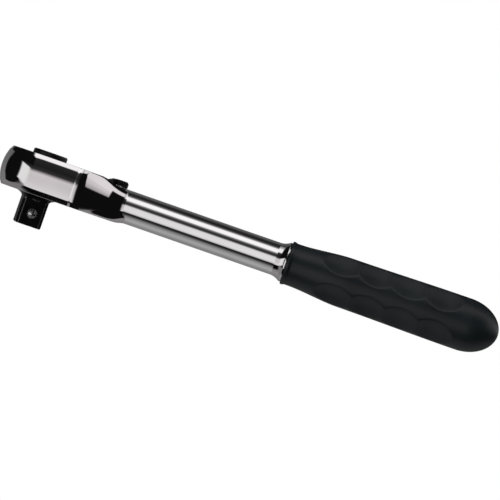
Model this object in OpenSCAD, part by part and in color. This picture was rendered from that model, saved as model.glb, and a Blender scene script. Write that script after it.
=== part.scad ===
// Reversible ratchet wrench with a quick-release square drive and a soft grip.
// The origin is on the drive axis, at the end face of the square. +X runs along the handle and
// +Z from the square to the cover. The plan sizes of the head and of the mechanism follow
// head_width, the sizes of the release follow drive_size, and the heights follow head_thickness.

/* [Overall] */
// Length from the front of the head to the end of the grip
total_length = 250; // [200:1:310]
// Width of the round head
head_width = 41; // [34:0.5:50]
// Thickness of the head without the square
head_thickness = 19; // [15.5:0.1:23]
// Diameter of the round shank
shank_diameter = 16; // [13:0.1:19.5]
// Height of the bevel around both edges of the head
bevel_height = 2; // [1:0.1:2.5]
// Depth of the bevel in from the wall
bevel_depth = 1.3; // [0.6:0.1:1.6]
// Swell of the head's side wall between its bevels
wall_swell = 1.3; // [0.4:0.1:1.5]
// Angle of the neck's taper to the handle
neck_taper = 27; // [24:1:32]

/* [Square drive] */
// Width across the flats of the square
drive_size = 12.7; // [10.5:0.1:15.3]
// Length of the square below the head
drive_length = 15; // [12.5:0.1:18]
// Turn of the square on its axis against the handle
drive_turn = 12; // [0:1:45]
// Teeth around the gear
tooth_count = 36; // [24:12:48]

/* [Quick release] */
// Height of the button above the cover
button_rise = 2.5; // [2:0.1:4]
// Travel of the button
button_travel = 2.2; // [1.6:0.1:2.4]

/* [Reverser] */
// Swing of the lever to each side of its middle
lever_swing = 24; // [18:1:27]
// Swing of the pawl to each side of its middle
pawl_swing = 6.5; // [6:0.1:7.5]
// Width of the thumb tab
tab_width = 6; // [4:0.1:7]

/* [Grip] */
// Length of the grip
grip_length = 106.5; // [85:0.5:130]
// Largest diameter of the grip
grip_diameter = 25.6; // [21:0.1:31]
// Finger hollows along one side of the grip
hollow_count = 4; // [3:1:5]
// Depth of a finger hollow
hollow_depth = 2.3; // [1:0.1:2.8]

/* [Hidden] */
$fn = 96;
eps = 0.01;
running_fit = 0.05;
side_gap = 0.25;

// Heights, from the end of the square up
z_bottom = drive_length;
z_top = z_bottom + head_thickness;
floor_thickness = 3;
cover_thickness = 3;
z_floor = z_bottom + floor_thickness;
z_cover = z_top - cover_thickness;
shank_r = shank_diameter / 2;
z_shank = z_bottom + head_thickness / 2 - 0.5;

// Head and neck in plan
plan = head_width / 41;
head_r = head_width / 2;
neck_end = 44.5 * plan;
neck_fillet = 7 * plan;
slope_start = 28.3 * plan;
slope_knee = 34 * plan;
bevel_z = head_thickness / 2 - bevel_height;
swell_r = (bevel_z * bevel_z + wall_swell * wall_swell) / (2 * wall_swell);

// Shank, its flare before the grip, and the rod inside the grip
grip_end = total_length - head_r;
grip_start = grip_end - grip_length;
grip_r = grip_diameter / 2;
grip_scale = grip_diameter / 25.6;
grip_neck_r = 10.25 * grip_scale;
flare_r = shank_r + 0.74 * (grip_neck_r - shank_r);
flare_length = 5.9;
flare_land = 0.9;
rod_r = 0.8 * shank_r;
rod_end = grip_end - 7;

// Gear and its journals
tip_r = 13.6 * plan;
tooth_depth = 0.42 * 360 / tooth_count * tip_r * PI / 180;
root_r = tip_r - tooth_depth;
pocket_r = tip_r + 0.3;
journal_r = 10.95 * plan;
neck_r = 10.45 * plan;
z_ring = z_floor + 0.7;
z_ring_top = z_cover - 1.1;
z_journal_top = z_top - 0.2;
seal_section = 0.75;

// Cover plate and its screws
plate_r = 17.3 * plan;
plate_gap = 0.08;
lever_x = 26.6 * plan;
plate_tail_r = 6.9 * plan;
screw_ring_r = 15.3 * plan;
screw_angles = [65, 180, 295];
screw_r = 1.15 * plan;
screw_head_r = 1.85 * plan;
screw_gap = 0.05;
screw_length = 7;

// Release mechanism inside the square
release = drive_size / 12.7;
ball_r = 2.5 * release;
ball_out = 1.0 * release;
ball_in = 1.05 * release;
ball_y = drive_size / 2 + ball_out - ball_r;
z_ball = 0.407 * drive_length;
pin_r = 2.45 * release;
ramp_slope = ball_in / button_travel;
ramp_angle = atan(ramp_slope);
ramp_mid_r = ball_y - (ball_r + 0.04) / cos(ramp_angle);
groove_r = ramp_mid_r - ball_in;
z_ramp = z_ball - (pin_r - ramp_mid_r) / ramp_slope;
z_groove = z_ball + button_travel;
z_pin_end = z_ramp - 1;
z_pin_top = z_top + button_rise - 1;
bore_end = z_pin_end - button_travel - 0.4;

// Button, its ring and the spring under it
button_r = 8.35 * plan;
flange_r = 9.1 * plan;
z_flange = z_top - 2.3;
flange_thickness = 1;
z_well = z_flange - button_travel - side_gap;
ring_thickness = 0.7;
z_button_ring = z_flange + flange_thickness + 0.2;
well_r = flange_r + 0.1;
ring_outer_r = flange_r + 0.4;
spring_well_r = 4.7 * plan;
z_spring = z_well - 4.5;
z_spring_top = z_top + 0.4;

// Pawl
pivot_x = 17.4 * plan;
pivot_r = 1.8 * plan;
hub_r = 3.4 * plan;
mesh_gap = 0.15;

// Reversing lever and the plunger inside it
barrel_r = 3.9 * plan;
cap_r = 6.6 * plan;
recess_r = cap_r + 0.4;
z_recess = z_cover + 1.3;
z_cap = z_top - 0.5;
tab_r = 12.7 * plan;
tab_rise = 1.1;
z_plunger = (z_floor + z_cover) / 2;
plunger_r = 1.5 * plan;
plunger_tip = 4.9 * plan;
plunger_length = 4.2 * plan;
plunger_travel = 0.6;
plunger_bore_end = 2.9 * plan;

// Height of the neck's upper line at a place along the handle
function knee_z() = z_top - 0.85 * (z_top - z_shank - shank_r);
function slope_line() = [
    [slope_start, z_top], [slope_knee, knee_z()], [neck_end + 2, z_shank + shank_r - 1]
];
function top_at(x) = x < slope_start ? z_top : max(lookup(x, slope_line()), z_shank + shank_r);
// Outline of the gear, grown by a gap on every face
function gear_points(gap) = [
    for (i = [0:tooth_count - 1], corner = [-2, -1, 1, 2])
        let (
            pitch = 360 / tooth_count,
            widen = gap * 0.5 / tip_r * 180 / PI,
            at = abs(corner) == 1 ? pitch * 0.08 + widen : pitch * 0.42 + widen,
            r = (abs(corner) == 1 ? tip_r : root_r) + gap,
            a = i * pitch + sign(corner) * at
        ) [r * cos(a), r * sin(a)]
];
// Ring of points around one place of a coil
function coil_ring(coil_r, wire_r, a, z, sides) = [
    for (k = [0:sides - 1])
        let (t = 360 * k / sides, r = coil_r + wire_r * cos(t))
            [r * cos(a), r * sin(a), z + wire_r * sin(t)]
];

// ---- Shared shapes ----

// An outline and its mirror image across the X axis, as one closed outline
function both_sides(upper) = concat(
    upper, [for (i = [len(upper) - 1:-1:0]) if (upper[i][1] != 0) [upper[i][0], -upper[i][1]]]
);

// A pear shaped plate: two round ends of different size and the straight sides between them
module pear(front_r, tail_x, tail_r, thickness) {
    lean = asin((front_r - tail_r) / tail_x);
    front = [front_r * sin(lean), front_r * cos(lean)];
    tail = [tail_x + tail_r * sin(lean), tail_r * cos(lean)];
    cylinder(h = thickness, r = front_r);
    translate([tail_x, 0, 0]) cylinder(h = thickness, r = tail_r);
    linear_extrude(thickness) polygon(both_sides([front, tail]));
}

// The space above the head's sloping back, cut away from the cover and the forging alike
module above_neck() {
    wide = head_width;
    translate([0, wide, 0]) rotate([90, 0, 0]) linear_extrude(2 * wide)
        polygon(concat(slope_line(), [[neck_end + 2, z_top + 9], [slope_start, z_top + 9]]));
}

// Round coil spring standing on its lower end
module coil_spring(coil_r, wire_r, height, turns) {
    steps = 16;
    sides = 8;
    count = turns * steps;
    rise = height - 2 * wire_r;
    rings = [
        for (i = [0:count])
            let (u = i / count, flat = min(1, max(0, (u * turns - 0.7) / (turns - 1.4))))
                each coil_ring(coil_r, wire_r, 360 * turns * u, wire_r + rise * flat, sides)
    ];
    walls = [
        for (i = [0:count - 1], k = [0:sides - 1])
            let (n = (k + 1) % sides)
                [i * sides + k, i * sides + n, (i + 1) * sides + n, (i + 1) * sides + k]
    ];
    ends = [[for (k = [sides - 1:-1:0]) k], [for (k = [0:sides - 1]) count * sides + k]];
    polyhedron(rings, concat(walls, ends));
}

// Flat ring with a gap, as snap rings have
module snap_ring(outer_r, inner_r, thickness, gap) {
    difference() {
        cylinder(h = thickness, r = outer_r);
        translate([0, 0, -1]) cylinder(h = thickness + 2, r = inner_r);
        translate([0, -gap / 2, -1]) cube([outer_r + 1, gap, thickness + 2]);
    }
}

// ---- Forging: head, neck, shank and the rod inside the grip ----

// Half section of the head, standing on z = 0: flat faces, a swelling wall and a bevel at each
// edge. The wall faces +X and reaches x = head_r.
module wall_section() {
    half = head_thickness / 2;
    bevel_x = head_r - wall_swell;
    translate([0, half]) difference() {
        intersection() {
            translate([0, -half]) square([head_r, head_thickness]);
            translate([head_r - swell_r, 0]) circle(swell_r, $fn = 360);
        }
        for (side = [-1, 1]) polygon([
            [bevel_x, side * bevel_z], [bevel_x - bevel_depth, side * half],
            [head_r + 1, side * (half + 1)], [head_r + 1, side * bevel_z]
        ]);
    }
}

// The round front of the head and the straight flanks behind it
module head_blank() {
    translate([0, 0, z_bottom]) {
        rotate_extrude() wall_section();
        rotate([90, 0, 90]) linear_extrude(neck_end) {
            wall_section();
            mirror([1, 0]) wall_section();
        }
    }
}

// Revolve about the shank's axis that tapers the head down to the shank with a fillet at its end
module neck_taper_form() {
    wide = 1.5 * head_r;
    start = -1.2 * head_r;
    fillet_r = shank_r + neck_fillet * (1 - cos(neck_taper));
    fillet_x = neck_end - neck_fillet * sin(neck_taper);
    wide_x = fillet_x - (wide - fillet_r) / tan(neck_taper);
    translate([0, 0, z_shank]) rotate([0, 90, 0]) rotate_extrude() difference() {
        polygon([
            [0, start], [wide, start], [wide, wide_x], [fillet_r, fillet_x],
            [shank_r, neck_end], [0, neck_end]
        ]);
        translate([shank_r + neck_fillet, neck_end]) circle(neck_fillet, $fn = 120);
    }
}

module shank() {
    start = slope_knee;
    flare_x = grip_start - flare_length;
    run = flare_length - flare_land;
    rise = flare_r - shank_r;
    arc_r = (run * run + rise * rise) / (2 * rise);
    translate([0, 0, z_shank]) rotate([0, 90, 0]) {
        translate([0, 0, start]) cylinder(h = grip_start - start - flare_land, r = shank_r);
        rotate_extrude() difference() {
            translate([0, flare_x]) square([flare_r, run]);
            translate([shank_r + arc_r, flare_x]) circle(arc_r, $fn = 180);
        }
        translate([0, 0, grip_start - flare_land]) cylinder(h = flare_land, r = flare_r);
        translate([0, 0, grip_start - eps]) cylinder(h = rod_end - grip_start, r = rod_r);
    }
}

// The hollow for the gear, the rocking pawl and the lever's barrel
module works_pocket() {
    upper = plan * [[6, 0], [8.6, 11.2], [10.2, 12], [14.3, 11.7], [22.5, 7], [26.6, 5.6], [27, 0]];
    deep = z_cover - z_floor + 0.1;
    translate([0, 0, z_floor]) {
        cylinder(h = deep, r = pocket_r);
        translate([lever_x, 0, 0]) cylinder(h = deep, r = 5.6 * plan);
        linear_extrude(deep) polygon(both_sides(upper));
    }
}

module handle_forging() {
    color("silver") difference() {
        union() {
            difference() {
                intersection() {
                    head_blank();
                    neck_taper_form();
                }
                above_neck();
            }
            shank();
        }
        translate([0, 0, z_cover])
            pear(plate_r + plate_gap, lever_x, plate_tail_r + plate_gap, cover_thickness + 1);
        works_pocket();
        translate([0, 0, z_bottom - 1])
            cylinder(h = floor_thickness + 2, r = journal_r + running_fit);
        translate([pivot_x, 0, z_floor - 1.6]) cylinder(h = 3, r = pivot_r);
        translate([lever_x, 0, z_floor - 1.6]) cylinder(h = 3, r = 2.5 * plan + running_fit);
        translate([lever_x, 0, z_recess]) cylinder(h = 9, r = recess_r);
        for (a = screw_angles)
            rotate(a) translate([screw_ring_r, 0, z_top - screw_length])
                cylinder(h = screw_length, r = screw_r);
    }
}

// ---- Grip ----

// Radius of the grip at a distance from its front edge: a slim neck, a swelling body and a dome
function smooth(u) = let (v = min(1, max(0, u))) v * v * (3 - 2 * v);
function dome_start() = grip_length - 17.3 * grip_scale;
function body_r(t) = grip_neck_r + 1.9 * grip_scale * smooth((t - 3) / 27)
    + 0.65 * grip_scale * smooth((t - 28) / (dome_start() - 30));
function dome_r(t) = body_r(dome_start())
    * sqrt(max(0, 1 - pow((t - dome_start()) / (grip_length - dome_start()), 2)));

module grip_sleeve() {
    body_steps = 20;
    dome_steps = 12;
    body = [for (i = [0:body_steps]) let (t = 2.4 + (dome_start() - 2.4) * i / body_steps) [body_r(t), t]];
    dome = [
        for (i = [1:dome_steps])
            let (t = dome_start() + (grip_length - dome_start()) * sin(90 * i / dome_steps))
                [dome_r(t), t]
    ];
    lip = [[0, 0], [grip_neck_r + 0.2, 0], [grip_neck_r + 0.4, 0.35], [grip_neck_r + 0.4, 1.1]];
    hollow_r = 18.8 * grip_scale;
    pitch = (grip_length - 41.2) / hollow_count;
    color("darkslategray") translate([grip_start, 0, z_shank]) rotate([0, 90, 0]) difference() {
        rotate_extrude() polygon(concat(lip, body, dome));
        translate([0, 0, -1]) cylinder(h = rod_end - grip_start + 1, r = rod_r + 0.02);
        for (row = [0:3], i = [0:hollow_count - 1]) {
            t = 19.5 + pitch * (i + 0.5);
            rotate(45 + 90 * row) translate([body_r(t) - hollow_depth + hollow_r, 0, t])
                sphere(hollow_r, $fn = 72);
        }
    }
}

// ---- Cover plate and screws ----

module cover_plate() {
    color("silver") difference() {
        translate([0, 0, z_cover]) pear(plate_r, lever_x, plate_tail_r, cover_thickness);
        above_neck();
        translate([0, 0, z_cover - 1]) cylinder(h = 9, r = neck_r + running_fit);
        translate([lever_x, 0, z_cover - 1]) cylinder(h = 9, r = barrel_r + running_fit);
        translate([lever_x, 0, z_recess]) cylinder(h = 9, r = recess_r);
        for (a = screw_angles) rotate(a) translate([screw_ring_r, 0, z_cover - 1]) {
            cylinder(h = 9, r = screw_r + screw_gap);
            translate([0, 0, 1 + cover_thickness - screw_head_r + screw_r]) cylinder(
                h = 2 * (screw_head_r - screw_r), r1 = screw_r + screw_gap,
                r2 = 2 * screw_head_r - screw_r + screw_gap
            );
        }
    }
}

module cover_screws() {
    head = screw_head_r - screw_r;
    socket = 0.9 * plan;
    color("dimgray") for (a = screw_angles) rotate(a) translate([screw_ring_r, 0, 0]) difference() {
        union() {
            translate([0, 0, z_top - screw_length]) cylinder(h = screw_length - head, r = screw_r);
            translate([0, 0, z_top - head]) cylinder(h = head, r1 = screw_r, r2 = screw_head_r);
        }
        translate([0, 0, z_top - 1]) cylinder(h = 2, r = socket, $fn = 6);
    }
}

// ---- Drive: gear, square, washers and seal ----

module square_tang() {
    half = drive_size / 2;
    chamfer = 0.08 * drive_size;
    round_r = 0.065 * drive_size;
    collar = 2.4;
    module end_profile() {
        translate([-half, round_r]) square([drive_size, z_bottom]);
        translate([-half + round_r, 0]) square([drive_size - 2 * round_r, z_bottom]);
        for (side = [-1, 1]) translate([side * (half - round_r), round_r]) circle(round_r);
    }
    intersection() {
        translate([0, 0, -1]) linear_extrude(z_bottom + 2) intersection() {
            square(drive_size, center = true);
            rotate(45) square(drive_size * sqrt(2) - 2 * chamfer, center = true);
        }
        translate([0, half, 0]) rotate([90, 0, 0]) linear_extrude(drive_size) end_profile();
        translate([-half, 0, 0]) rotate([90, 0, 90]) linear_extrude(drive_size) end_profile();
    }
    translate([0, 0, z_bottom - collar]) cylinder(h = collar, r1 = half, r2 = half + 2);
}

module drive_gear() {
    bore_r = pin_r + running_fit;
    hole_r = ball_r + running_fit;
    color("dimgray") difference() {
        union() {
            rotate(drive_turn) square_tang();
            translate([0, 0, z_bottom - eps]) cylinder(h = 0.3, r = drive_size / 2 + 2);
            translate([0, 0, z_bottom + 0.2]) cylinder(h = z_ring - z_bottom, r = journal_r);
            translate([0, 0, z_ring]) linear_extrude(z_ring_top - z_ring) polygon(gear_points(0));
            translate([0, 0, z_ring_top - 1]) cylinder(h = z_journal_top - z_ring_top + 1, r = neck_r);
        }
        translate([0, 0, bore_end]) cylinder(h = z_top, r = bore_r);
        translate([0, 0, z_spring]) cylinder(h = z_top, r = spring_well_r);
        translate([0, 0, z_well]) cylinder(h = z_top, r = well_r);
        translate([0, 0, z_button_ring - 0.05])
            cylinder(h = ring_thickness + 0.1, r = ring_outer_r + 0.05);
        translate([0, 0, z_bottom + 1.6]) rotate_extrude()
            translate([journal_r - seal_section, 0]) circle(seal_section + 0.02, $fn = 32);
        rotate(drive_turn) translate([0, -ball_y, z_ball]) {
            sphere(hole_r);
            rotate([-90, 0, 0]) cylinder(h = ball_y, r = hole_r);
        }
    }
}

module thrust_washer() {
    color("gray") translate([0, 0, z_floor]) difference() {
        cylinder(h = 0.45, r = 13.3 * plan);
        translate([0, 0, -1]) cylinder(h = 3, r = journal_r + 0.1);
    }
}

// Dished washer that presses the gear down
module spring_washer() {
    thin = 0.4;
    inner = neck_r + 0.1;
    outer = 13 * plan;
    low = z_ring_top + 0.2;
    color("gray") rotate_extrude()
        polygon([[outer, low], [outer, low + thin], [inner, z_cover], [inner, z_cover - thin]]);
}

module drive_seal() {
    color("black") translate([0, 0, z_bottom + 1.6]) rotate_extrude()
        translate([journal_r - seal_section, 0]) circle(seal_section, $fn = 32);
}

// ---- Quick release ----

module detent_ball() {
    color("gainsboro") rotate(drive_turn) translate([0, -ball_y, z_ball]) sphere(ball_r);
}

// The pin locks the ball out with its full radius and lets it in over the ramp and the groove
module release_pin() {
    groove_length = 1.2 * release;
    z_full = z_groove + groove_length + 1.3 * release;
    color("dimgray") rotate_extrude() polygon([
        [0, z_pin_end], [pin_r - 0.3, z_pin_end], [pin_r, z_pin_end + 0.3], [pin_r, z_ramp],
        [groove_r, z_groove], [groove_r, z_groove + groove_length], [pin_r, z_full],
        [pin_r, z_pin_top], [0, z_pin_top]
    ]);
}

module release_spring() {
    coil_r = (pin_r + spring_well_r) / 2 + 0.02;
    wire_r = 0.2 * (spring_well_r - pin_r);
    color("gray") translate([0, 0, z_spring]) coil_spring(coil_r, wire_r, z_spring_top - z_spring, 5);
}

module release_button() {
    round_r = 0.8;
    z_button = z_top + button_rise;
    color("black") difference() {
        rotate_extrude() {
            translate([0, z_flange]) square([flange_r, flange_thickness]);
            translate([0, z_flange]) square([button_r, z_button - round_r - z_flange]);
            translate([0, z_flange]) square([button_r - round_r, z_button - z_flange]);
            translate([button_r - round_r, z_button - round_r]) circle(round_r);
        }
        translate([0, 0, z_flange - 1]) cylinder(h = z_pin_top - z_flange + 1, r = pin_r);
        translate([0, 0, z_flange - 1]) cylinder(h = z_spring_top - z_flange + 1, r = spring_well_r);
    }
}

module button_ring() {
    color("gray") translate([0, 0, z_button_ring]) rotate(90)
        snap_ring(ring_outer_r, button_r + 0.25, ring_thickness, 4 * plan);
}

// ---- Pawl ----

module turned_about_pivot(angle) {
    translate([pivot_x, 0, 0]) rotate(angle) translate([-pivot_x, 0, 0]) children();
}

// Rocking pawl in its middle position: two toothed arms, each cut by the gear as it stands to
// the pawl when that arm is swung home. Between the arms the pawl clears the teeth.
module pawl_blank() {
    arms = plan * [[21.5, 0], [22, 2], [19.2, 7.4], [12.6, 10.8], [9.3, 9.2], [10.5, 3], [12.5, 0]];
    tooth_zone = 5.3 * plan;
    thickness = z_ring_top - z_ring;
    difference() {
        union() {
            translate([pivot_x, 0, 0]) cylinder(h = thickness, r = hub_r);
            linear_extrude(thickness) polygon(both_sides(arms));
        }
        for (side = [-1, 1]) turned_about_pivot(side * pawl_swing) translate([0, 0, -1]) {
            linear_extrude(thickness + 2) polygon(gear_points(mesh_gap));
            intersection() {
                cylinder(h = thickness + 2, r = tip_r + mesh_gap);
                turned_about_pivot(-side * pawl_swing) translate([0, -tooth_zone, 0])
                    cube([pivot_x, 2 * tooth_zone, thickness + 2]);
            }
        }
        translate([pivot_x, 0, -1]) cylinder(h = thickness + 2, r = pivot_r + running_fit);
    }
}

module pawl() {
    color("dimgray") translate([0, 0, z_ring]) turned_about_pivot(-pawl_swing) pawl_blank();
}

module pawl_pivot() {
    color("silver") translate([pivot_x, 0, z_floor - 1.5])
        cylinder(h = z_cover - z_floor + 1.3, r = pivot_r - 0.01);
}

// ---- Reversing lever, its plunger and its rings ----

// Side view of the tab from the lever's axis outward: it rises out of the recess to the thumb
module tab_profile() {
    near = 3.7 * plan;
    crest = 6.7 * plan;
    step = cap_r + 0.3;
    droop = 10.3 * plan;
    under = max(z_top - 0.6, top_at(31.4 * plan) + 0.3);
    tip_under = max(z_top - 1.5, top_at(36 * plan) + 0.35);
    polygon([
        [0, z_cap], [0, z_recess + 0.1], [cap_r - 0.5, z_recess + 0.1], [cap_r - 0.5, under],
        [droop - 1, under], [droop, tip_under], [tab_r - 0.3, tip_under], [tab_r, tip_under + 0.4],
        [tab_r, z_top + tab_rise - 0.6], [tab_r - 0.8, z_top + tab_rise],
        [crest + 1.5, z_top + tab_rise], [crest, z_top + tab_rise - 0.2], [near, z_cap]
    ]);
}

module tab_plan() {
    root = 0.8 * tab_width;
    end_r = tab_width / 2;
    polygon([[0, -root / 2], [0, root / 2], [tab_r - end_r, end_r], [tab_r - end_r, -end_r]]);
    intersection() {
        translate([tab_r - end_r, 0]) circle(end_r);
        translate([tab_r - end_r, -end_r]) square([end_r, tab_width]);
    }
}

module reversing_lever() {
    stub_r = 2.5 * plan;
    color("black") translate([lever_x, 0, 0]) rotate(lever_swing) difference() {
        union() {
            translate([0, 0, z_floor - 1.4]) cylinder(h = 2, r = stub_r);
            translate([0, 0, z_floor + 0.3]) cylinder(h = z_recess - z_floor, r = barrel_r);
            translate([0, 0, z_recess + 0.1]) cylinder(h = z_cap - z_recess - 0.1, r = cap_r);
            intersection() {
                translate([0, tab_width, 0]) rotate([90, 0, 0]) linear_extrude(2 * tab_width) tab_profile();
                linear_extrude(z_top + 9) tab_plan();
            }
        }
        translate([plunger_bore_end, 0, z_plunger]) rotate([0, -90, 0])
            cylinder(h = barrel_r + plunger_bore_end + 1, r = plunger_r + running_fit);
        translate([0, 0, lever_seal_z()]) rotate_extrude()
            translate([barrel_r - 0.45, 0]) circle(0.47, $fn = 24);
        translate([0, 0, lever_ring_z() - 0.05]) difference() {
            cylinder(h = ring_thickness + 0.1, r = barrel_r + 1);
            translate([0, 0, -1]) cylinder(h = 3, r = barrel_r - 0.6);
        }
    }
}

function lever_seal_z() = z_cover + 0.65;
function lever_ring_z() = z_cover - 0.2 - ring_thickness;

module lever_seal() {
    color("black") translate([lever_x, 0, lever_seal_z()]) rotate_extrude()
        translate([barrel_r - 0.45, 0]) circle(0.45, $fn = 24);
}

module lever_ring() {
    color("gray") translate([lever_x, 0, lever_ring_z()]) rotate(lever_swing + 90)
        snap_ring(5.2 * plan, barrel_r - 0.55, ring_thickness, 4 * plan);
}

module pawl_plunger() {
    length = plunger_length - plunger_r;
    color("gainsboro") translate([lever_x, 0, z_plunger]) rotate(lever_swing + 180) {
        translate([plunger_tip - plunger_r, 0, 0]) {
            sphere(plunger_r);
            rotate([0, -90, 0]) cylinder(h = length, r = plunger_r);
        }
    }
}

module plunger_spring() {
    start = plunger_tip - plunger_length - plunger_travel;
    length = plunger_bore_end + start - 0.05;
    color("gray") translate([lever_x, 0, z_plunger]) rotate(lever_swing)
        translate([plunger_bore_end - 0.02, 0, 0]) rotate([0, -90, 0])
            coil_spring(0.95 * plan, 0.25 * plan, length, 4);
}

handle_forging();
grip_sleeve();
cover_plate();
cover_screws();
drive_gear();
thrust_washer();
spring_washer();
drive_seal();
detent_ball();
release_pin();
release_spring();
release_button();
button_ring();
pawl();
pawl_pivot();
pawl_plunger();
plunger_spring();
reversing_lever();
lever_seal();
lever_ring();
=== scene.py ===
import math

import bmesh
import bpy
from mathutils import Matrix, Vector


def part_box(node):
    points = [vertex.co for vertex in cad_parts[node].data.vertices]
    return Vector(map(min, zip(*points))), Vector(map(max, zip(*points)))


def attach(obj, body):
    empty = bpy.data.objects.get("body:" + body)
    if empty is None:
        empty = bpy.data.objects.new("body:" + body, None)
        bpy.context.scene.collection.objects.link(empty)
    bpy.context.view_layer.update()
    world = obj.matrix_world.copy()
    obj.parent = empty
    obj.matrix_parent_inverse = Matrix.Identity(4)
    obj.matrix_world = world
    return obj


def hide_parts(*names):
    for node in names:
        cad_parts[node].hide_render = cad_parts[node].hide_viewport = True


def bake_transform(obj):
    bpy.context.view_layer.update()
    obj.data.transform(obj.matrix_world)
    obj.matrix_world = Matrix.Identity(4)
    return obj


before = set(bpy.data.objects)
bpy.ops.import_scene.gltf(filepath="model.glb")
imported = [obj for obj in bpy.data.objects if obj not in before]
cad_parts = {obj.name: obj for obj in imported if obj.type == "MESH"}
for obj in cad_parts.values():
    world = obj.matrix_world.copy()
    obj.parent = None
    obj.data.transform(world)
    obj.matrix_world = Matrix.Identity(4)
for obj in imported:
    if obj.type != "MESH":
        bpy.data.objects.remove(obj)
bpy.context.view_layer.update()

# ---- Studio: camera, light and floor ----
# A long lens level with the wrench, rolled so that the handle falls to the right. The light is a
# tent of white cards and dark flags, which the chrome mirrors. The floor is matte white paper.

MM = 0.001
LENS_DISTANCE, VIEW_WIDTH = 1.0, 0.2383
SENSOR = 36.0
ROLL = math.radians(19.2)
VIEW_X, VIEW_DROP = 0.1046, 0.0001

grip_low, grip_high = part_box("grip_sleeve")
handle_z = (grip_low[2] + grip_high[2]) / 2
camera_data = bpy.data.cameras.new("camera")
camera_data.type = "PERSP"
camera_data.sensor_width = SENSOR
camera_data.lens = SENSOR * LENS_DISTANCE / VIEW_WIDTH
camera_data.dof.use_dof = False
camera = bpy.data.objects.new("camera", camera_data)
bpy.context.scene.collection.objects.link(camera)
camera_axes = Matrix((
    (math.cos(ROLL), -math.sin(ROLL), 0.0),
    (0.0, 0.0, -1.0),
    (math.sin(ROLL), math.cos(ROLL), 0.0),
))
camera_place = Matrix.Translation((VIEW_X, -LENS_DISTANCE, handle_z - VIEW_DROP))
camera.matrix_world = camera_place @ camera_axes.to_4x4()
bpy.context.scene.camera = camera
bpy.context.scene.view_settings.view_transform = "Standard"


def linear(value):
    """One sRGB channel from 0 to 255, as linear light."""
    share = value / 255
    return share / 12.92 if share <= 0.04045 else ((share + 0.055) / 1.055) ** 2.4


def colour(code):
    """A colour written as an sRGB hex code, as linear RGBA."""
    return (*(linear(int(code[i:i + 2], 16)) for i in (0, 2, 4)), 1.0)


def add(tree, kind, settings=None, links=None):
    """Adds a node. Settings go to its properties, sockets or colour stops, links to its sockets."""
    made = tree.nodes.new(kind)
    for key, value in (settings or {}).items():
        if key == "stops":
            stops = made.color_ramp.elements
            for i, (place, code) in enumerate(value):
                stop = stops[i] if i < 2 else stops.new(place)
                stop.position = place
                stop.color = colour(code)
        elif isinstance(key, int) or key in made.inputs:
            made.inputs[key].default_value = value
        else:
            setattr(made, key, value)
    for key, output in (links or {}).items():
        tree.links.new(output, made.inputs[key])
    return made


world = bpy.data.worlds.new("light_tent")
bpy.context.scene.world = world
world.use_nodes = True
tent = world.node_tree
tent.nodes.clear()
direction = add(tent, "ShaderNodeTexCoord").outputs["Generated"]
parts = add(tent, "ShaderNodeSeparateXYZ", links={"Vector": direction})
across, height = parts.outputs["X"], parts.outputs["Z"]
toward = add(tent, "ShaderNodeMath", {"operation": "MULTIPLY", 1: -1.0}, {0: parts.outputs["Y"]}).outputs[0]
turn = add(tent, "ShaderNodeMath", {"operation": "ARCTAN2"}, {0: height, 1: toward}).outputs[0]
round_tent = add(tent, "ShaderNodeMapRange", {"From Min": -math.pi, "From Max": math.pi}, {"Value": turn})
# The tent's grey at each angle, in degrees up from straight ahead of the wrench's side, for the
# shank and for the head. By the head the front card is dimmer and the flag over it hangs lower.
SHANK_TENT = [
    (-180, "7A7A7A"), (-122, "868686"), (-95, "A8A8A8"), (-80, "9E9E9E"), (-66, "828282"),
    (-55, "4C4C4C"), (-49, "202020"), (-41, "141414"), (-36, "323232"), (-32, "CDCDCD"),
    (-27, "E4E4E4"), (-12, "E4E4E4"), (4, "E0E0E0"), (8, "CCCCCC"), (13, "686868"),
    (18, "343434"), (27, "303030"), (32, "424242"), (36, "787878"), (40, "D8D8D8"),
    (45, "FCFCFC"), (66, "FFFFFF"), (71, "DEDEDE"), (77, "787878"), (84, "505050"),
    (92, "1A1A1A"), (113, "2D2D2D"), (123, "505050"), (180, "7D7D7D"),
]
HEAD_TENT = [
    (-180, "6E6E6E"), (-100, "8C8A8B"), (-80, "807E7F"), (-72, "3A3A3A"), (-69, "060606"),
    (-41, "040404"), (-38, "CAC7C8"), (-34, "DAD8D9"), (-26, "CFCBCD"), (-8, "C8C4C6"),
    (3, "CCC8CA"), (7, "989194"), (11, "303031"), (17, "262627"), (24, "1C1C1D"),
    (32, "242425"), (42, "2E2E2F"), (48, "5A5A5A"), (53, "F4F2F3"), (76, "FAF8F9"),
    (88, "B8B8B8"), (110, "3A3A3A"), (180, "6E6E6E"),
]
shank_bands, head_bands = [
    add(tent, "ShaderNodeValToRGB", {"stops": [((angle + 180) / 360, code) for angle, code in tones]},
        {"Fac": round_tent.outputs[0]}).outputs["Color"]
    for tones in (SHANK_TENT, HEAD_TENT)
]
# How far the mirroring surface is turned along the handle and tilted up, as tangents
level = add(tent, "ShaderNodeMath", {"operation": "ADD", 1: 1.0}, {0: toward}).outputs[0]
turned = add(tent, "ShaderNodeMath", {"operation": "DIVIDE"}, {0: across, 1: level}).outputs[0]
tilted = add(tent, "ShaderNodeMath", {"operation": "DIVIDE"}, {0: height, 1: level}).outputs[0]
slant = add(tent, "ShaderNodeMath", {"operation": "MULTIPLY_ADD", 1: 0.33}, {0: across, 2: height}).outputs[0]
box_tone = add(tent, "ShaderNodeValToRGB", {
    "stops": [(0.12, "9C989A"), (0.24, "BDB8BA"), (0.42, "DEDADC")]}, {"Fac": tilted}).outputs["Color"]


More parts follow.
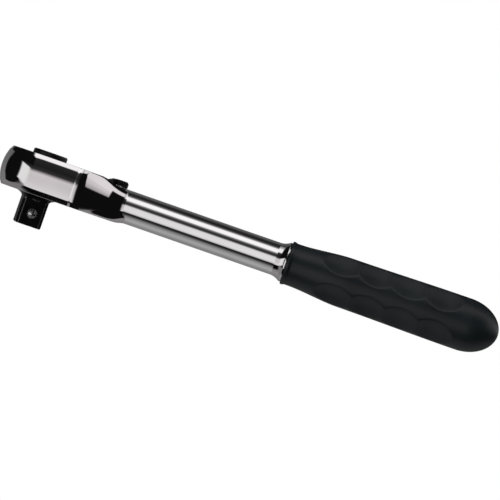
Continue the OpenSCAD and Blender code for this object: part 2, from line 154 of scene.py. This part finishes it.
def covered(areas):
    """How far a direction lies in any area. In an area, each (source, start, end) lies past its end."""
    joined = None
    for area in areas:
        inside = None
        for source, start, end in area:
            rise = add(tent, "ShaderNodeMapRange", {
                "interpolation_type": "SMOOTHSTEP", "From Min": start, "From Max": end}, {"Value": source})
            rise = rise.outputs[0]
            if inside:
                rise = add(tent, "ShaderNodeMath", {"operation": "MULTIPLY"}, {0: inside, 1: rise}).outputs[0]
            inside = rise
        if joined:
            inside = add(tent, "ShaderNodeMath", {"operation": "MAXIMUM"}, {0: joined, 1: inside}).outputs[0]
        joined = inside
    return joined


# What stands in the tent, from the back to the front, as a tone and the areas that it covers
HUNG = [
    # The stretch that only the shank mirrors
    (shank_bands, [[(across, -0.082, -0.068), (across, 0.04, 0.025)]]),
    # Low card and bright card beyond the head
    ("787677", [[(across, -0.52, -0.64), (height, -0.40, -0.50)]]),
    ("E4E3E3", [[(across, -0.48, -0.64), (slant, 0.0, -0.035), (turn, -0.66, -0.60), (toward, 0.10, 0.20)]]),
    # Flag over the handle's side, with a low edge
    ("0D0D0D", [[(turned, 0.05, 0.12), (turn, -1.50, -1.35), (turned, 0.62, 0.56)],
                [(turned, 0.05, 0.12), (tilted, -0.55, -0.47)]]),
    # Softbox high on the handle's side, wide at its far end
    (box_tone, [[(turned, 0.60, 0.66), (tilted, 0.11, 0.16), (tilted, 0.96, 0.84)],
                [(turned, 0.07, 0.13), (tilted, 0.52, 0.60), (tilted, 0.96, 0.84)]]),
    # Flags over and beyond the head
    ("0D0D0D", [[(across, -0.43, -0.51), (height, 0.26, 0.32)]]),
    ("0D0D0D", [[(across, -0.84, -0.90)]]),
]
shade = head_bands
for tone, areas in HUNG:
    laid = add(tent, "ShaderNodeMix", {"data_type": "RGBA"}, {0: covered(areas), 6: shade})
    if isinstance(tone, str):
        laid.inputs[7].default_value = colour(tone)
    else:
        tent.links.new(tone, laid.inputs[7])
    shade = laid.outputs[2]
# The camera itself sees a plain white backdrop
seen = add(tent, "ShaderNodeLightPath").outputs["Is Camera Ray"]
backdrop = add(tent, "ShaderNodeMix", {"data_type": "RGBA", 7: colour("FFFFFF")}, {0: seen, 6: shade})
glow = add(tent, "ShaderNodeBackground", {"Strength": 1.0}, {"Color": backdrop.outputs[2]})
add(tent, "ShaderNodeOutputWorld", links={"Surface": glow.outputs[0]})


def material(name):
    """A new node material, its tree, its principled shader and its Object coordinates."""
    made = bpy.data.materials.new(name)
    made.use_nodes = True
    tree = made.node_tree
    place = add(tree, "ShaderNodeTexCoord").outputs["Object"]
    return made, tree, tree.nodes["Principled BSDF"], place


def finished(shape, name, made):
    """Makes a piece from a shape drawn in millimetres, in metres and with its material."""
    shape.transform(Matrix.Scale(MM, 4))
    mesh = bpy.data.meshes.new(name)
    shape.to_mesh(mesh)
    shape.free()
    mesh.materials.append(made)
    piece = bpy.data.objects.new(name, mesh)
    bpy.context.scene.collection.objects.link(piece)
    return piece


FLOOR_SIZE, FLOOR_DROP = 3000, 250
# Uncoated paper, evenly lit, so that its soft cloudiness barely shows
paper, tree, shader, place = material("matte_white_paper")
cloud = add(tree, "ShaderNodeTexNoise", {"Scale": 1 / (25 * MM), "Detail": 2.0}, {"Vector": place})
tone = add(tree, "ShaderNodeValToRGB", {"stops": [(0.0, "F6F6F6"), (1.0, "FFFFFF")]},
           {"Fac": cloud.outputs["Fac"]})
tree.links.new(tone.outputs["Color"], shader.inputs["Base Color"])
tree.links.new(tone.outputs["Color"], shader.inputs["Emission Color"])
shader.inputs["Emission Strength"].default_value = 0.85
shader.inputs["Roughness"].default_value = 0.9
# The paper is clear from behind, so that the underside can be seen through it
behind = add(tree, "ShaderNodeNewGeometry").outputs["Backfacing"]
clear = add(tree, "ShaderNodeBsdfTransparent").outputs[0]
sheet = add(tree, "ShaderNodeMixShader", links={"Fac": behind, 1: shader.outputs[0], 2: clear})
tree.links.new(sheet.outputs[0], tree.nodes["Material Output"].inputs["Surface"])
shape = bmesh.new()
bmesh.ops.create_grid(shape, x_segments=1, y_segments=1, size=FLOOR_SIZE)
shape.transform(Matrix.Translation((0, 0, -FLOOR_DROP)))
floor = finished(shape, "floor", paper)
floor.visible_glossy = False
floor.visible_diffuse = False

# ---- Forging ----
# The head, neck and shank are one steel forging, ground, polished and chrome plated. The round
# head has straight flanks with a swelling wall, and a cone tapers it down to the round shank.

HEAD_R = 20.5
PLATE_R, TAIL_R, TAIL_X = 17.38, 7.0, 26.6
JOURNAL_R, JOURNAL_DEPTH = 11.0, 2.8
Z_BOTTOM, Z_TOP, Z_AXIS, Z_COVER = 15.0, 34.0, 24.0, 31.0
Z_MIDDLE = (Z_BOTTOM + Z_TOP) / 2
WALL_SWELL, WALL_STEPS = 1.3, 28
BEVEL_HEIGHT, BEVEL_DEPTH, BEVEL_R, EDGE_R = 2.0, 1.3, 4.8, 0.35
RECESS_EDGE_DEPTH, RECESS_EDGE = 0.12, 0.1
FLAT_STEPS, FRONT_STEPS = 26, 96
EDGE_BLEND, NECK_BLEND, SLOPE_BLEND = 0.35, 1.2, 0.5
SHANK_R = 8.0
NECK_END, NECK_FILLET, NECK_TAPER = 44.5, 7.0, math.radians(27)
SIDE_END, SIDE_FILLET, SIDE_TAPER = 42.5, 16.0, math.radians(37)
FLANK_START, FLANK_RUN, FLANK_LEAN, FLANK_R = 17.0, 6.0, 0.03, 15.0
SLOPE_START, SLOPE_KNEE, KNEE_Z = 28.3, 34.0, 32.3
SLOPE_END, SLOPE_END_Z = NECK_END + 2, Z_AXIS + SHANK_R - 1
GRIP_START = 123.0
FLARE_R, FLARE_LENGTH, FLARE_LAND = 9.66, 5.9, 0.9


def rounded(corners, radii, steps):
    """The polyline through the corners, with each inner corner rounded to its radius."""
    path = [Vector(corners[0])]
    for before, at, after, r in zip(corners, corners[1:], corners[2:], radii):
        before, at, after = Vector(before), Vector(at), Vector(after)
        u, v = (before - at).normalized(), (after - at).normalized()
        half = u.angle(v) / 2
        reach = r / math.tan(half)
        centre = at + (u + v).normalized() * (r / math.sin(half))
        start, end = at + u * reach - centre, at + v * reach - centre
        sweep = start.angle_signed(end)
        path += [centre + Matrix.Rotation(-sweep * k / steps, 2) @ start for k in range(steps + 1)]
    return [tuple(point) for point in path + [Vector(corners[-1])]]


def soft_min(a, b, k):
    """The smaller of two values, blended where they are within k of each other."""
    h = max(k - abs(a - b), 0.0) / k
    return min(a, b) - h * h * k / 4


def eased(u):
    """Rises smoothly from 0 to 1 as u does."""
    u = min(1.0, max(0.0, u))
    return u * u * (3 - 2 * u)


def spread(start, end, count, ease=False):
    """Places from start to end, closer together towards the end if eased."""
    if ease:
        return [start + (end - start) * math.sin(k / count * math.pi / 2) for k in range(1, count + 1)]
    return [start + (end - start) * k / count for k in range(1, count + 1)]


def neck_r(x, end, fillet, taper):
    """Radius of the neck's cone, its fillet and the shank about the handle's axis."""
    fillet_x = end - fillet * math.sin(taper)
    if x >= end:
        return SHANK_R
    if x >= fillet_x:
        return SHANK_R + fillet - math.sqrt(fillet ** 2 - (end - x) ** 2)
    return SHANK_R + fillet * (1 - math.cos(taper)) + (fillet_x - x) * math.tan(taper)


def recess_y(x):
    """Half width of the cover's recess at a place along the handle."""
    lean = math.asin((PLATE_R - TAIL_R) / TAIL_X)
    if x <= PLATE_R * math.sin(lean):
        return math.sqrt(PLATE_R ** 2 - x * x)
    if x <= TAIL_X + TAIL_R * math.sin(lean):
        return (PLATE_R - x * math.sin(lean)) / math.cos(lean)
    return math.sqrt(max(0.0, TAIL_R ** 2 - (x - TAIL_X) ** 2))


def slope_z(x):
    """Height of the sloping top behind the cover, under the lever's tab."""
    if x <= SLOPE_START:
        return Z_TOP
    if x <= SLOPE_KNEE:
        return Z_TOP + (KNEE_Z - Z_TOP) * (x - SLOPE_START) / (SLOPE_KNEE - SLOPE_START)
    return KNEE_Z + (SLOPE_END_Z - KNEE_Z) * (x - SLOPE_KNEE) / (SLOPE_END - SLOPE_KNEE)


# The swelling wall and its bevels, from the top's edge to the bottom's, as (distance, height)
bevel_z = Z_MIDDLE - Z_BOTTOM - BEVEL_HEIGHT
swell_r = (bevel_z ** 2 + WALL_SWELL ** 2) / (2 * WALL_SWELL)
lean_end = math.asin(bevel_z / swell_r)
wall = [
    (HEAD_R - swell_r + swell_r * math.cos(a), Z_MIDDLE + swell_r * math.sin(a))
    for a in (lean_end * (1 - 2 * k / WALL_STEPS) for k in range(WALL_STEPS + 1))
]
flat_edge = HEAD_R - WALL_SWELL - BEVEL_DEPTH
upper = rounded([(flat_edge - 2, Z_TOP), (flat_edge, Z_TOP), wall[0], wall[5]], [EDGE_R, BEVEL_R], 10)
upper = upper[1:-1]
skin = upper + wall[6:-6] + [(r, 2 * Z_MIDDLE - z) for r, z in reversed(upper)]


def head_section(x):
    """The head's half section at a place along the handle, from the cover's recess to the journal.

    Each point is a distance, a height and whether the neck may draw it in.
    """
    inner = min(recess_y(x), skin[0][0] - 0.05)
    low_y = math.sqrt(max(0.0, JOURNAL_R ** 2 - x * x))
    lip = RECESS_EDGE if inner > 0 else 0
    past = inner == 0
    points = [
        (inner, Z_TOP if past else Z_COVER, past),
        (inner, Z_TOP if past else Z_TOP - RECESS_EDGE_DEPTH, past),
        (inner + lip, Z_TOP, past),
    ]
    start, last = inner + RECESS_EDGE, skin[-1][0]
    points += [(start + (skin[0][0] - start) * k / FLAT_STEPS, Z_TOP, True) for k in range(1, FLAT_STEPS)]
    points += [(r, z, True) for r, z in skin]
    points += [(last + (low_y - last) * k / FLAT_STEPS, Z_BOTTOM, True) for k in range(1, FLAT_STEPS)]
    closed = low_y == 0
    journal_z = Z_BOTTOM if closed else Z_BOTTOM + JOURNAL_DEPTH
    return points + [(low_y, Z_BOTTOM, closed), (low_y, journal_z, closed)]


def side_section(x):
    """The half section with its flank turned in, its top sloped and the neck drawn down to the shank."""
    points = head_section(x)
    inner = points[0][0]
    side_reach = neck_r(x, SIDE_END, SIDE_FILLET, SIDE_TAPER)
    low_reach = neck_r(x, NECK_END, NECK_FILLET, NECK_TAPER)
    blend = EDGE_BLEND + NECK_BLEND * eased((x - 24) / 10)
    run = min(FLANK_RUN, max(0.0, x - FLANK_START))
    flank = 1 - (run * FLANK_LEAN + run ** 2 / (2 * FLANK_R)) / HEAD_R
    placed = []
    for y, z, free in points:
        if y > inner + 0.2 or inner == 0:
            y *= flank
        if z > Z_MIDDLE and x > 22:
            z = soft_min(z, slope_z(x), SLOPE_BLEND)
        if free or inner == 0:
            rise = z - Z_AXIS
            r = math.hypot(y, rise)
            # The cone is longer and shallower underneath
            below = eased((-rise / r - 0.45) / 0.4)
            reach = side_reach + (low_reach - side_reach) * below
            limit = max(soft_min(r, reach, blend) if x > 8 else r, SHANK_R)
            if x >= NECK_END:
                limit = SHANK_R
            y, z = y * limit / r, Z_AXIS + rise * limit / r
        placed.append((y, z))
    return placed


def bridge(shape, rings):
    """Joins rings of the same number of corners with quads."""
    for ring, following in zip(rings, rings[1:]):
        for corners in zip(ring, ring[1:], following[1:], following):
            shape.faces.new(corners)


def mirrored(shape):
    """Adds the mirror image across the handle's plane and merges the seam."""
    everything = shape.verts[:] + shape.edges[:] + shape.faces[:]
    bmesh.ops.mirror(shape, geom=everything, merge_dist=0.0, axis="Y")
    bmesh.ops.remove_doubles(shape, verts=shape.verts, dist=0.002)


def face_outwards(shape, curved=lambda face: True):
    """Turns the faces outwards and shades those smooth that are curved."""
    bmesh.ops.recalc_face_normals(shape, faces=shape.faces)
    for face in shape.faces:
        face.smooth = curved(face)


# Nickel and chrome over polished steel: a mirror with the faintest haze and waviness
chrome, tree, shader, place = material("polished_chrome_plating")
haze = add(tree, "ShaderNodeTexNoise", {"Scale": 1 / (16.7 * MM), "Detail": 3.0}, {"Vector": place})
tone = add(tree, "ShaderNodeValToRGB", {"stops": [(0.3, "F4F2F2"), (0.7, "FBF9FA")]},
           {"Fac": haze.outputs["Fac"]})
tree.links.new(tone.outputs["Color"], shader.inputs["Base Color"])
smear = add(tree, "ShaderNodeMapRange", {"To Min": 0.03, "To Max": 0.07}, {"Value": haze.outputs["Fac"]})
tree.links.new(smear.outputs[0], shader.inputs["Roughness"])
wave = add(tree, "ShaderNodeTexNoise", {"Scale": 1 / (11.1 * MM), "Detail": 1.0}, {"Vector": place})
dent = add(tree, "ShaderNodeBump", {"Strength": 0.05, "Distance": 0.2 * MM}, {"Height": wave.outputs["Fac"]})
tree.links.new(dent.outputs[0], shader.inputs["Normal"])
shader.inputs["Metallic"].default_value = 1.0

# The round front is half of a turned shape, and the flanks and the neck run on from it
shape = bmesh.new()
profile = [shape.verts.new((0, r, z)) for r, z, _ in head_section(0)]
profile += [shape.edges.new(pair) for pair in zip(profile, profile[1:])]
bmesh.ops.spin(shape, geom=profile, cent=(0, 0, 0), axis=(0, 0, 1), angle=math.pi / 2,
               steps=FRONT_STEPS // 2, use_merge=False)
stations = [0.0] + spread(0, JOURNAL_R, 14, True) + spread(JOURNAL_R, 16, 8) + spread(16, 22, 20)
stations += spread(22, TAIL_X, 12) + spread(TAIL_X, TAIL_X + TAIL_R, 24, True)
stations += spread(TAIL_X + TAIL_R, NECK_END, 30)
rings = [[shape.verts.new((x, y, z)) for y, z in side_section(x)] for x in stations]
# Along the shank to the flare at the grip, whose edge turns in under the rubber
flare_x, flare_end = GRIP_START - FLARE_LENGTH, GRIP_START - FLARE_LAND
flare_rise = FLARE_R - SHANK_R
flare_arc = ((flare_end - flare_x) ** 2 + flare_rise ** 2) / (2 * flare_rise)
turned_sizes = [(x, SHANK_R) for x in spread(NECK_END, flare_x, 12)]
turned_sizes += [
    (x, SHANK_R + flare_arc - math.sqrt(flare_arc ** 2 - (x - flare_x) ** 2))
    for x in spread(flare_x, flare_end, 16)
]
turned_sizes += [
    (flare_end + 0.1, FLARE_R), (GRIP_START - 0.25, FLARE_R), (GRIP_START - 0.1, FLARE_R - 0.05),
    (GRIP_START, FLARE_R - 0.2), (GRIP_START + 0.2, SHANK_R),
]
neck_end = side_section(NECK_END)
for x, r in turned_sizes:
    rings.append([
        shape.verts.new((x, y * r / SHANK_R, Z_AXIS + (z - Z_AXIS) * r / SHANK_R)) for y, z in neck_end
    ])
bridge(shape, rings)
mirrored(shape)
bmesh.ops.dissolve_degenerate(shape, edges=shape.edges, dist=0.0005)
face_outwards(shape)
forging = finished(shape, "chromed_forging", chrome)
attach(forging, "handle")
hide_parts("handle_forging")

# ---- Grip ----
# A soft rubber sleeve moulded over the shank's rod, with four rows of finger hollows and a
# domed end. Its surface is matte and finely textured.

GRIP_LENGTH = 106.5
NECK_R, BELLY, BACK_SWELL = 10.25, 1.9, 0.65
LIP, GRIP_EDGE_R = 0.4, 0.45
DOME_START = GRIP_LENGTH - 17.3
HOLLOWS, HOLLOW_DEPTH, HOLLOW_EDGE = 4, 2.3, 0.32
HOLLOW_LENGTH, HOLLOW_WIDTH = 9.7, math.radians(33)
HOLLOW_START, HOLLOW_PITCH = 17.2, (GRIP_LENGTH - 39.8) / HOLLOWS
AROUND = 256


def body_r(t):
    """Radius of the grip's plain body at a distance from its front edge."""
    return NECK_R + BELLY * eased((t - 3) / 27) + BACK_SWELL * eased((t - 28) / (DOME_START - 30))


def grip_r(t):
    """Radius with the front lip, its rounded edge and the domed end, without the hollows."""
    if t > DOME_START:
        share = (t - DOME_START) / (GRIP_LENGTH - DOME_START)
        return body_r(DOME_START) * math.sqrt(max(0.0, 1 - share ** 2))
    lip = LIP * (1 - eased((t - 1.1) / 1.2))
    edge = GRIP_EDGE_R * (1 - math.sqrt(1 - (1 - min(t, GRIP_EDGE_R) / GRIP_EDGE_R) ** 2))
    return body_r(t) + lip - edge


def hollowed_r(t, turn):
    """Radius with the finger hollows, at a distance from the front and an angle around."""
    r = grip_r(t)
    swing = turn % (math.pi / 2) - math.pi / 4
    for i in range(HOLLOWS):
        along = (t - HOLLOW_START - HOLLOW_PITCH * (i + 0.5)) / HOLLOW_LENGTH
        cut = body_r(t) - HOLLOW_DEPTH * (1 - along ** 2 - (swing / HOLLOW_WIDTH) ** 2)
        r = soft_min(r, cut, HOLLOW_EDGE)
    return r


def grip_ring(x, radii):
    """A closed ring of corners about the handle's axis, with a radius for each."""
    ring = [
        shape.verts.new((x, r * math.cos(turn), Z_AXIS + r * math.sin(turn)))
        for r, turn in zip(radii, turns)
    ]
    return ring + ring[:1]


# Moulded rubber is matte, dark blue grey and finely grained, and its gloss varies a little
rubber, tree, shader, place = material("matte_moulded_rubber")
cloud = add(tree, "ShaderNodeTexNoise", {"Scale": 1 / (22.2 * MM), "Detail": 4.0}, {"Vector": place})
tone = add(tree, "ShaderNodeValToRGB", {"stops": [(0.3, "252F33"), (0.7, "313B3F")]},
           {"Fac": cloud.outputs["Fac"]})
tree.links.new(tone.outputs["Color"], shader.inputs["Base Color"])
rough = add(tree, "ShaderNodeMapRange", {"To Min": 0.36, "To Max": 0.48}, {"Value": cloud.outputs["Fac"]})
tree.links.new(rough.outputs[0], shader.inputs["Roughness"])
grain = add(tree, "ShaderNodeTexNoise", {"Scale": 1 / (0.455 * MM), "Detail": 2.0}, {"Vector": place})
dent = add(tree, "ShaderNodeBump", {"Strength": 0.35, "Distance": 0.08 * MM},
           {"Height": grain.outputs["Fac"]})
tree.links.new(dent.outputs[0], shader.inputs["Normal"])

shape = bmesh.new()
turns = [2 * math.pi * k / AROUND for k in range(AROUND)]
lengths = [0.0] + spread(0, GRIP_EDGE_R, 5) + spread(GRIP_EDGE_R, 4, 10) + spread(4, DOME_START, 230)
lengths += spread(DOME_START, GRIP_LENGTH - 0.02, 40, True)
rings = [grip_ring(GRIP_START, [SHANK_R] * AROUND)]
rings += [grip_ring(GRIP_START + t, [hollowed_r(t, turn) for turn in turns]) for t in lengths]
bridge(shape, rings)
tip = shape.verts.new((GRIP_START + GRIP_LENGTH, 0, Z_AXIS))
for a, b in zip(rings[-1], rings[-1][1:]):
    shape.faces.new((a, tip, b))
face_outwards(shape)
grip = finished(shape, "moulded_grip", rubber)
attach(grip, "handle")
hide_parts("grip_sleeve")

# ---- Drive gear, square and collar ----
# The ratchet gear, its journals and the square are one piece of hardened steel, and the square's
# root flares out to a round collar. The release pin, pawl and screws share its blackened finish.

SQUARE, CHAMFER_REACH, SQUARE_TURN = 6.35, 8.26, math.radians(12)
COLLAR_R, COLLAR_LOW, COLLAR_TOP = 10.3, 12.2, 15.06
COLLAR_STEPS, COLLAR_SIDES, COLLAR_FLARE = 16, 96, 2.6

# Black oxide is a thin oily film, mottled and nearly black, with the steel's sheen under it
oxide, tree, shader, place = material("blackened_oiled_steel")
mottle = add(tree, "ShaderNodeTexNoise", {"Scale": 1 / (2.86 * MM), "Detail": 5.0}, {"Vector": place})
tone = add(tree, "ShaderNodeValToRGB", {"stops": [(0.3, "0B0B0C"), (0.7, "1A1A1C")]},
           {"Fac": mottle.outputs["Fac"]})
rough = add(tree, "ShaderNodeMapRange", {"To Min": 0.28, "To Max": 0.46}, {"Value": mottle.outputs["Fac"]})
tree.links.new(rough.outputs[0], shader.inputs["Roughness"])
edge = add(tree, "ShaderNodeBevel", {"samples": 8, "Radius": 0.5 * MM}).outputs[0]
dent = add(tree, "ShaderNodeBump", {"Strength": 0.2, "Distance": 0.03 * MM},
           {"Height": mottle.outputs["Fac"], "Normal": edge})
tree.links.new(dent.outputs[0], shader.inputs["Normal"])
# A painted highlight: a matte light grey is painted along the edges, where the bevelled normal leaves the
# face's own
flat = add(tree, "ShaderNodeNewGeometry").outputs["True Normal"]
facing = add(tree, "ShaderNodeVectorMath", {"operation": "DOT_PRODUCT"}, {0: edge, 1: flat})
painted_edge_highlight = add(tree, "ShaderNodeMapRange",
           {"interpolation_type": "SMOOTHSTEP", "From Min": 0.998, "From Max": 0.95},
           {"Value": facing.outputs["Value"]})
edge_highlight_colour = add(tree, "ShaderNodeMix", {"data_type": "RGBA", 7: colour("B8B8BA")},
           {0: painted_edge_highlight.outputs[0], 6: tone.outputs["Color"]})
tree.links.new(edge_highlight_colour.outputs[2], shader.inputs["Base Color"])
# The painted edge highlight is matte, so the metal falls from the body's to almost none there
edge_highlight_metal = add(tree, "ShaderNodeMapRange", {"To Min": 0.6, "To Max": 0.1}, {"Value": painted_edge_highlight.outputs[0]})
tree.links.new(edge_highlight_metal.outputs[0], shader.inputs["Metallic"])


def dress(node, made):
    """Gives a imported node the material."""
    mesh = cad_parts[node].data
    mesh.materials.clear()
    mesh.materials.append(made)


def square_r(turn):
    """Distance to the chamfered square's outline, a little inside it."""
    folded = turn % (math.pi / 2)
    flat_r = SQUARE / max(math.cos(folded), math.sin(folded))
    return min(flat_r, CHAMFER_REACH / math.cos(folded - math.pi / 4)) - 0.08


def collar_ring(flare, z):
    """A closed ring of corners that goes from the square to the round collar as flare goes to 1."""
    ring = []
    for i in range(COLLAR_SIDES):
        turn = 2 * math.pi * i / COLLAR_SIDES
        r = square_r(turn) + (COLLAR_R - square_r(turn)) * flare
        ring.append(shape.verts.new((r * math.cos(turn + SQUARE_TURN), r * math.sin(turn + SQUARE_TURN), z)))
    return ring + ring[:1]


shape = bmesh.new()
shares = [k / COLLAR_STEPS for k in range(COLLAR_STEPS + 1)]
rings = [collar_ring(u ** COLLAR_FLARE, COLLAR_LOW + (COLLAR_TOP - COLLAR_LOW) * u) for u in shares]
bridge(shape, rings + [collar_ring(1, COLLAR_TOP + 0.2)])
face_outwards(shape)
collar = finished(shape, "square_collar", oxide)
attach(collar, "drive")
for node in ("drive_gear", "release_pin", "pawl", "cover_screws"):
    dress(node, oxide)

# ---- Detent ball ----
# A hardened steel ball in the square's side holds the socket. The sockets that slide over it
# leave it a little duller than the ground parts.

rubbed, tree, shader, place = material("rubbed_steel_ball")
scuff = add(tree, "ShaderNodeTexNoise", {"Scale": 1 / (1.11 * MM), "Detail": 3.0}, {"Vector": place})
tone = add(tree, "ShaderNodeValToRGB", {"stops": [(0.3, "E6E6E8"), (0.7, "F6F6F8")]},
           {"Fac": scuff.outputs["Fac"]})
tree.links.new(tone.outputs["Color"], shader.inputs["Base Color"])
rough = add(tree, "ShaderNodeMapRange", {"To Min": 0.22, "To Max": 0.32}, {"Value": scuff.outputs["Fac"]})
tree.links.new(rough.outputs[0], shader.inputs["Roughness"])
shader.inputs["Metallic"].default_value = 0.85
dress("detent_ball", rubbed)

# ---- Washers, rings and pins ----
# A flat washer lies under the gear and a dished one over it. These, the snap rings, the pawl's
# pivot, its plunger and the plunger's spring are ground or drawn from bright steel.

# Fine grinding leaves a bright surface with a slight uneven haze
bright, tree, shader, place = material("ground_bright_steel")
ground = add(tree, "ShaderNodeTexNoise", {"Scale": 1 / (2 * MM), "Detail": 3.0}, {"Vector": place})
tone = add(tree, "ShaderNodeValToRGB", {"stops": [(0.3, "C4C4C8"), (0.7, "DADADE")]},
           {"Fac": ground.outputs["Fac"]})
tree.links.new(tone.outputs["Color"], shader.inputs["Base Color"])
rough = add(tree, "ShaderNodeMapRange", {"To Min": 0.10, "To Max": 0.2}, {"Value": ground.outputs["Fac"]})
tree.links.new(rough.outputs[0], shader.inputs["Roughness"])
shader.inputs["Metallic"].default_value = 1.0
for node in ("thrust_washer", "spring_washer", "button_ring", "pawl_pivot", "pawl_plunger",
             "plunger_spring", "lever_ring"):
    dress(node, bright)

# ---- Seals ----
# A ring of black rubber in the lower journal keeps dirt out of the gear, and a smaller
# one does the same around the lever's shaft.

# Soft rubber scatters the light, so it is dull all over
seal, tree, shader, place = material("black_seal_rubber")
dust = add(tree, "ShaderNodeTexNoise", {"Scale": 1 / (1.25 * MM), "Detail": 3.0}, {"Vector": place})
tone = add(tree, "ShaderNodeValToRGB", {"stops": [(0.3, "0C0C0C"), (0.7, "161616")]},
           {"Fac": dust.outputs["Fac"]})
tree.links.new(tone.outputs["Color"], shader.inputs["Base Color"])
shader.inputs["Roughness"].default_value = 0.55
for node in ("drive_seal", "lever_seal"):
    dress(node, seal)

# ---- Release spring ----
# A coil of spring steel wire with closed ends pushes the button up. It rests in the square's well
# and shortens as the button goes in.

spring_low, spring_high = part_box("release_spring")
SPRING_LOW, SPRING_HIGH = spring_low[2] / MM, spring_high[2] / MM
SPRING_TURNS, TURN_STEPS, WIRE_SIDES = 5, 48, 12
WIRE_R = 0.25
COIL_R = (spring_high[0] - spring_low[0]) / 2 / MM - WIRE_R
END_PITCH, END_SHARE = 0.1, 0.14


def climbed(share):
    """Rise at a share of the wire's length, with less of it over the end coils."""
    return END_PITCH * share + (1 - END_PITCH) * eased(END_SHARE + (1 - 2 * END_SHARE) * share)


shape = bmesh.new()
rings = []
for i in range(SPRING_TURNS * TURN_STEPS + 1):
    share = i / (SPRING_TURNS * TURN_STEPS)
    turn = 2 * math.pi * SPRING_TURNS * share
    climb = (climbed(share) - climbed(0)) / (climbed(1) - climbed(0))
    z = SPRING_LOW + WIRE_R + (SPRING_HIGH - SPRING_LOW - 2 * WIRE_R) * climb
    ring = []
    for side in (2 * math.pi * k / WIRE_SIDES for k in range(WIRE_SIDES)):
        r = COIL_R + WIRE_R * math.cos(side)
        ring.append(shape.verts.new((r * math.cos(turn), r * math.sin(turn), z + WIRE_R * math.sin(side))))
    rings.append(ring + ring[:1])
bridge(shape, rings)
for ring in (rings[0], rings[-1]):
    shape.faces.new(ring[:-1])
face_outwards(shape, lambda face: len(face.verts) == 4)
spring = finished(shape, "button_spring", bright)
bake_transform(spring)
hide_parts("release_spring")

# ---- Cover ----
# A pear shaped plate closes the head's top over the works, ground flush and chromed like the
# forging. Three countersunk socket screws of blackened steel hold it.

dress("cover_plate", chrome)

# ---- Button and lever ----
# The quick release button is turned steel and the reversing lever is cast steel, both with a satin
# black finish. The lever's tab is thick and ribbed, and hangs close over the sloping neck.

LEVER_X, LEVER_TURN = 26.6, math.radians(24)
TAB_START, TAB_END, TAB_HALF, TAB_TOP = 6.8, 12.75, 4.3, 34.9
TAB_STEPS, TAB_GAP, TAB_CROWN, TAB_DROP = 24, 0.2, 10.5, 0.5
RIB_START, RIB_PITCH, RIB_HEIGHT = 9.0, 1.25, 0.28

# A blasted and blackened surface: a satin sheen with a fine grain, softer at the edges
satin, tree, shader, place = material("satin_black_finish")
mottle = add(tree, "ShaderNodeTexNoise", {"Scale": 1 / (1.67 * MM), "Detail": 4.0}, {"Vector": place})
tone = add(tree, "ShaderNodeValToRGB", {"stops": [(0.3, "0E0E0F"), (0.7, "1B1B1D")]},
           {"Fac": mottle.outputs["Fac"]})
tree.links.new(tone.outputs["Color"], shader.inputs["Base Color"])
rough = add(tree, "ShaderNodeMapRange", {"To Min": 0.32, "To Max": 0.5}, {"Value": mottle.outputs["Fac"]})
tree.links.new(rough.outputs[0], shader.inputs["Roughness"])
edge = add(tree, "ShaderNodeBevel", {"samples": 4, "Radius": 0.3 * MM}).outputs[0]
dent = add(tree, "ShaderNodeBump", {"Strength": 0.15, "Distance": 0.03 * MM},
           {"Height": mottle.outputs["Fac"], "Normal": edge})
tree.links.new(dent.outputs[0], shader.inputs["Normal"])
for node in ("release_button", "reversing_lever"):
    dress(node, satin)


def tab_section(r):
    """Half section of the tab at a distance from the lever's shaft."""
    low = slope_z(LEVER_X + r * math.cos(LEVER_TURN)) + TAB_GAP
    rib = RIB_HEIGHT * max(0.0, math.sin(2 * math.pi * (r - RIB_START) / RIB_PITCH)) if r > RIB_START else 0
    top = TAB_TOP + rib - TAB_DROP * eased((r - TAB_END + TAB_DROP) / TAB_DROP)
    half = TAB_HALF * math.sqrt(1 - ((r - TAB_START) / TAB_CROWN) ** 2)
    return rounded([(0, low), (half, low), (half, top), (0, top)], [0.25, 0.5], 4)


shape = bmesh.new()
places = [TAB_START] + spread(TAB_START, TAB_END, TAB_STEPS)
rings = [[shape.verts.new((r, y, z)) for y, z in tab_section(r)] for r in places]
bridge(shape, rings)
for ring in (rings[0], rings[-1]):
    shape.faces.new(ring)
mirrored(shape)
face_outwards(shape, lambda face: face.calc_area() < 1)
shape.transform(Matrix.Translation((LEVER_X, 0, 0)) @ Matrix.Rotation(LEVER_TURN, 4, "Z"))
tab = finished(shape, "thumb_tab", satin)
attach(tab, "lever")
